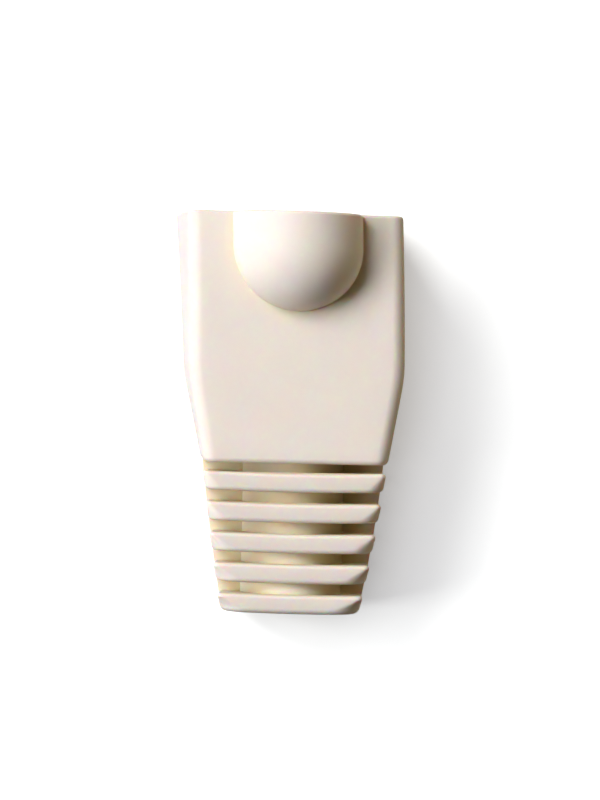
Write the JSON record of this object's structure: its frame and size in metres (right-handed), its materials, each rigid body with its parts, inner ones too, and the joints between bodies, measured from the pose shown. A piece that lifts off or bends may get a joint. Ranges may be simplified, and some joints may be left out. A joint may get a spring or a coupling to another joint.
{
  "type": "rj45 strain relief boot",
  "caption": "Slip-on strain relief boot for a modular network plug: rectangular plug socket, domed hood over the latch, tapered body and a ribbed flexible tail round the cable.",
  "frame": {"origin": "centre of the cable hole in the tail's end face, on the cable's axis", "axes": "+Y along the cable and out of the plug mouth, +Z to the face with the latch hood, X across the body"},
  "size_m": [0.0142, 0.0261, 0.0144],
  "materials": {
    "soft_pvc": "soft satin beige PVC"
  },
  "bodies": {
    "root": {"boot": "soft_pvc"}
  },
  "joints": []
}
